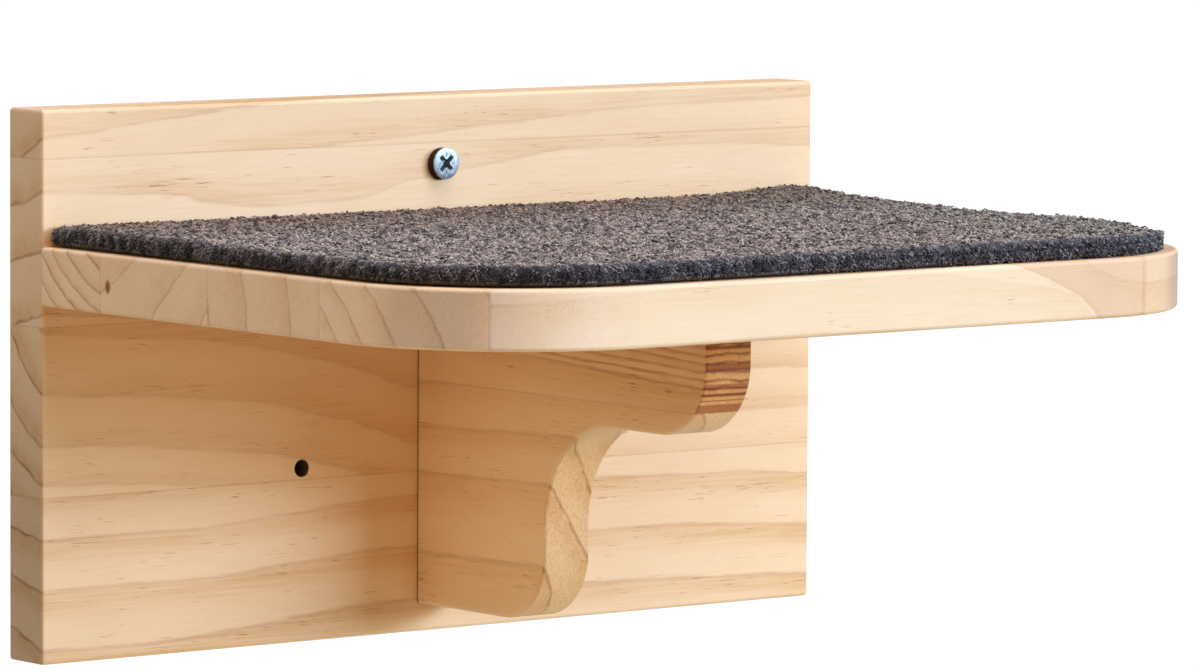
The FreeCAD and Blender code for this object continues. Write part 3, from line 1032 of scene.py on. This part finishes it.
def turned(profile):
    """A closed solid of revolution about Z from (radius, height) points that start and end on the axis."""
    bm = bmesh.new()
    verts = [bm.verts.new((radius, 0, height)) for radius, height in profile]
    edges = [bm.edges.new(pair) for pair in zip(verts, verts[1:])]
    bmesh.ops.spin(bm, geom=verts + edges, axis=(0, 0, 1), angle=radians(360), steps=SCREW_SIDES,
                   use_merge=True)
    bmesh.ops.remove_doubles(bm, verts=bm.verts, dist=1e-4)
    return bm


def wedge(name, length, width, depth, floor_share, shift, turn):
    """A cutter for a tapered slot, from above the head's face at Z = 0 down to its depth."""
    bm = bmesh.new()
    bmesh.ops.create_cube(bm, size=1.0)
    resized(bm, (length, width, 2 * depth))
    for vert in bm.verts:
        share = floor_share if vert.co.z > 0 else 2 - floor_share
        vert.co.x *= share
        vert.co.y *= share
    moved(bm, (shift, 0, 0))
    rotated(bm, turn, "Z")
    return placed(name, mesh_from(name, bm))


def carved(bm, tools):
    """The bmesh less each tool, by exact booleans that are applied at once."""
    blank = placed("blank", mesh_from("blank", bm))
    for tool in tools:
        cut = blank.modifiers.new("cut", "BOOLEAN")
        cut.operation = "DIFFERENCE"
        cut.solver = "EXACT"
        cut.object = tool
    bpy.context.view_layer.update()
    shaped = blank.evaluated_get(bpy.context.evaluated_depsgraph_get())
    result = bmesh.new()
    result.from_mesh(bpy.data.meshes.new_from_object(shaped))
    for item in [blank, *tools]:
        bpy.data.objects.remove(item)
    return result


def thread_ridge(start, length):
    """The thread's ridge, which winds from its start to the tip and runs out at both."""
    turns = (length - TIP_LENGTH * 0.55 - start) / THREAD_PITCH
    foot, top = SHANK_RADIUS - 0.12, CREST_RADIUS - 0.01
    ridge = bmesh.new()
    corners = ((foot, -0.42), (top, -0.06), (top, 0.06), (foot, 0.42))
    face = ridge.faces.new([ridge.verts.new((reach, 0, start + along)) for reach, along in corners])
    bmesh.ops.spin(ridge, geom=[face], axis=(0, 0, 1), dvec=(0, 0, THREAD_PITCH / THREAD_STEPS),
                   angle=turns * radians(360), steps=round(turns * THREAD_STEPS))
    for vert in ridge.verts:
        to_tip = (length - vert.co.z) / TIP_LENGTH
        from_start = (vert.co.z - start + 1.2) / 3
        thin = min(1.0, max(0.2, to_tip), max(0.72, from_start))
        vert.co.x *= thin
        vert.co.y *= thin
    return mesh_from("ridge", ridge)


def wall_screw():
    """The screw in the top hole: turned head and shank, cross recess, ticks and a rolled thread."""
    low, high = box_mm("wall_screw")
    length = high.y - low.y
    head = (high.x - low.x) / 2
    shank = SHANK_RADIUS
    neck = HEAD_RIM + head - shank
    body = turned((
        (0, 0), (head - 0.22, 0), (head - 0.06, 0.06), (head, 0.2), (head, HEAD_RIM),
        (shank + 0.35, neck - 0.3), (shank, neck + 0.25), (shank, length - TIP_LENGTH),
        (0.12, length - 0.1), (0, length)))
    body = carved(body, [wedge(*slot, turn) for *slot, turns in HEAD_SLOTS for turn in turns])
    body.from_mesh(thread_ridge(neck + PLAIN_SHANK, length))
    rotated(body, -90, "X")
    middle = (low + high) / 2
    moved(body, (middle.x, low.y, middle.z))
    screw = finished("wall_screw_zinc", body, ZINC, "wall_screw")
    screw.data.set_sharp_from_angle(angle=radians(SHARP_ANGLE))


def hole_splinter():
    """A sliver that the drill lifted at the lower left hole's rim."""
    hole = Vector((-LOWER_HOLE_X, box_mm("back_board")[0].y, LOWER_HOLE_Z))
    bm = bmesh.new()
    bmesh.ops.create_cone(bm, cap_ends=True, segments=5, radius1=0.28, radius2=0.05, depth=3.0)
    bmesh.ops.subdivide_edges(bm, edges=steep_edges(bm, 1), cuts=3)
    for vert in bm.verts:
        vert.co.y *= 0.45
        vert.co.x += 0.10 * vert.co.z ** 2
    rotated(bm, 128, "Y")
    moved(bm, hole + Vector((2.2, -0.2, -2.0)))
    finished("hole_splinter", bm, NODES["back_board"].data.materials[0], None)


# Studio

def aimed(thing, azimuth, elevation, distance, roll=0.0):
    """Stands a lamp or the camera round the view's target and turns it to that."""
    turn, tilt = radians(azimuth), radians(elevation)
    away = Vector((sin(turn) * cos(tilt), -cos(turn) * cos(tilt), sin(tilt)))
    thing.location = VIEW_TARGET + away * distance
    thing.rotation_mode = "QUATERNION"
    thing.rotation_quaternion = (-away).to_track_quat("-Z", "Y") @ Quaternion((0, 0, 1), radians(roll))


def softbox(name, azimuth, elevation, distance, width, height, watts, tone):
    light = bpy.data.lights.new(name, "AREA")
    light.shape = "RECTANGLE"
    light.size = width
    light.size_y = height
    light.energy = watts
    light.color = tone
    lamp = placed(name, light)
    aimed(lamp, azimuth, elevation, distance)
    lamp.visible_camera = False


def studio_floor():
    """A plain pale floor well below the step, which fades out before the photograph's background."""
    bm = bmesh.new()
    bmesh.ops.create_circle(bm, cap_ends=True, segments=96, radius=FLOOR_RADIUS)
    moved(bm, (0, 0, CAD_BOX[0].z - FLOOR_DROP))
    floor = placed("studio_floor", mesh_from("studio_floor", bm, outward=False))
    paper = Finish("studio_floor_paper")
    place = paper.made("TexCoord", "Object")
    away = paper.vector("LENGTH", paper.scaled(place, (1, 1, 0)))
    shown = paper.eased(away, FLOOR_RADIUS * FLOOR_FADE, FLOOR_RADIUS, 1.0, 0.0)
    above = 1.0 - paper.made("NewGeometry", "Backfacing")
    clouds = paper.graded(paper.noise(place, 30.0, 3.0), 0.3, 0.7, 0.0, 0.3)
    paper.surface(colour=paper.shaded(clouds, FLOOR_TONE, 0.97), roughness=0.9, alpha=shown * above)
    floor.data.materials.append(paper.material)


def studio_air():
    """White behind the object, softer light from all round."""
    world = bpy.data.worlds.new("studio_air")
    bpy.context.scene.world = world
    world.use_nodes = True
    nodes, links = world.node_tree.nodes, world.node_tree.links
    nodes.clear()
    both = nodes.new("ShaderNodeMixShader")
    ray = nodes.new("ShaderNodeLightPath")
    links.new(ray.outputs["Is Camera Ray"], both.inputs["Fac"])
    lit_and_seen = ((AMBIENT_TONE, AMBIENT_STRENGTH), (BACKGROUND_TONE, BACKGROUND_STRENGTH))
    for number, (tone, strength) in enumerate(lit_and_seen, 1):
        background = nodes.new("ShaderNodeBackground")
        background.inputs["Color"].default_value = rgba(tone)
        background.inputs["Strength"].default_value = strength
        links.new(background.outputs[0], both.inputs[number])
    output = nodes.new("ShaderNodeOutputWorld")
    links.new(both.outputs[0], output.inputs["Surface"])


def photograph_camera():
    data = bpy.data.cameras.new("photograph")
    data.sensor_fit = "HORIZONTAL"
    data.sensor_width = SENSOR_WIDTH_MM
    data.lens = SENSOR_WIDTH_MM * FOCAL_PIXELS / PHOTO_WIDTH
    data.clip_start = 0.05
    data.clip_end = 60.0
    camera = placed("photograph", data)
    aimed(camera, VIEW_AZIMUTH, VIEW_ELEVATION, VIEW_DISTANCE, VIEW_ROLL)
    bpy.context.scene.camera = camera


def dress(node, material):
    mesh = NODES[node].data
    mesh.materials.clear()
    mesh.materials.append(material)


photograph_camera()
studio_air()
studio_floor()
for box in SOFTBOXES:
    softbox(*box)
bpy.context.scene.view_settings.view_transform = "Standard"

ZINC = zinc_plate()
FELT = felt_pile()
FIBRE = loose_fibre()
BACKING = carpet_backing()
TAPE = foam_tape()
BEECH = beech()

# The bores are painted shade inside the holes; the last is a painted shadow ring round the wall screw's head,
# on the front face alone
dress("back_board", pine(
    "pine_back_board", BACK_STAVES, (0.745, 0.76, 0.86), end_fade=(-32, 20, 0.76, 1.0), parted_by="height",
    painted_shade_bores=((-LOWER_HOLE_X, LOWER_HOLE_Z, BORE_RADIUS, 1), (LOWER_HOLE_X, LOWER_HOLE_Z, BORE_RADIUS, 1),
           (0, TOP_HOLE_Z, BORE_RADIUS, 1), (-0.15, TOP_HOLE_Z - 0.2, 4.3, -14))))
# The step's rounded corners get painted shade on their slanted arcs and painted light on the front stave's
# left
dress("step_board", pine(
    "pine_step_board", STEP_STAVES, (0.88, 0.905, 1.03), end_span=(0.45, 0.75),
    corners=((0.83, 0.84, 0.89), (1.09, 1.13, 1.28)),
    heart=(((20.5, 73), (26, 67.5), (30.5, 58.6), (36.5, 42)), 88, (0.88, 0.79, 0.74)),
    knot=((-127, -44.6, 28), (6, 1.5, 2.3), (0.26, 0.09, 0.035))))
dress("support_bracket", pine(
    "pine_bracket", BRACKET_STAVES, (0.90, 0.82, 0.68), along="Y", across="X", parted_by="height",
    nose=(BRACKET_JOINT, NOSE_LAYERS), face_line=0.7, speckles=0.6, flecky=0.035, joint=-15.0))
for node in ("step_screws", "bracket_rear_screws", "bracket_top_screws"):
    dress(node, ZINC)
for node in ("step_dowels", "bracket_dowel"):
    dress(node, BEECH)

pile = carpet_pile()
hairs = [top_fibres("carpet_top_fibres_1"), top_fibres("carpet_top_fibres_2"),
         edge_fibres("carpet_edge_fibres")]
backing = backing_layer()
tape_strips()
wall_screw()
hole_splinter()
